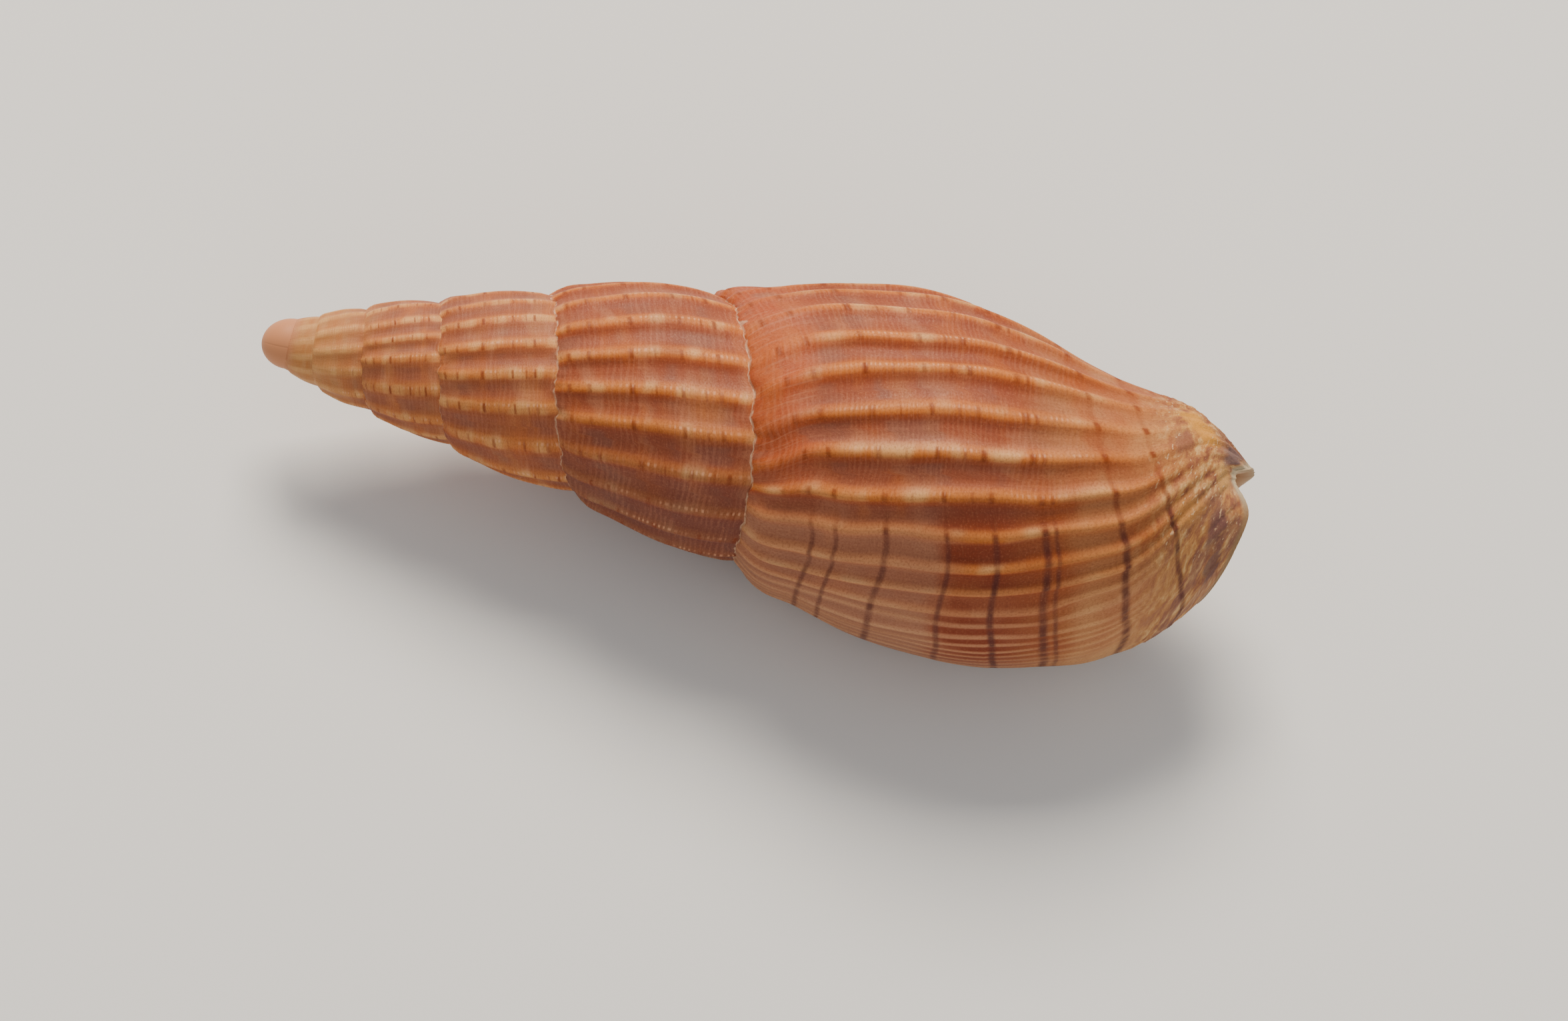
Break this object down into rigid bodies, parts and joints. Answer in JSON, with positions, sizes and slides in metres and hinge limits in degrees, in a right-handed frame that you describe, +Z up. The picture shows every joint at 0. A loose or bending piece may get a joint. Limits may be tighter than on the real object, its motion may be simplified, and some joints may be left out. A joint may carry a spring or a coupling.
{
  "type": "volute sea snail shell",
  "caption": "Slender ribbed sea snail shell, orange-brown, with a tall stepped spire, long open mouth, notched front end and folds on the columella.",
  "frame": {"origin": "middle of the footprint box, on the surface that the shell rests on", "axes": "+X from the apex to the front end, +Z up off its back, mouth down"},
  "size_m": [0.0604, 0.0212, 0.0194],
  "materials": {
    "shell": "satin"
  },
  "bodies": {
    "root": {"shell": "shell"}
  },
  "joints": []
}
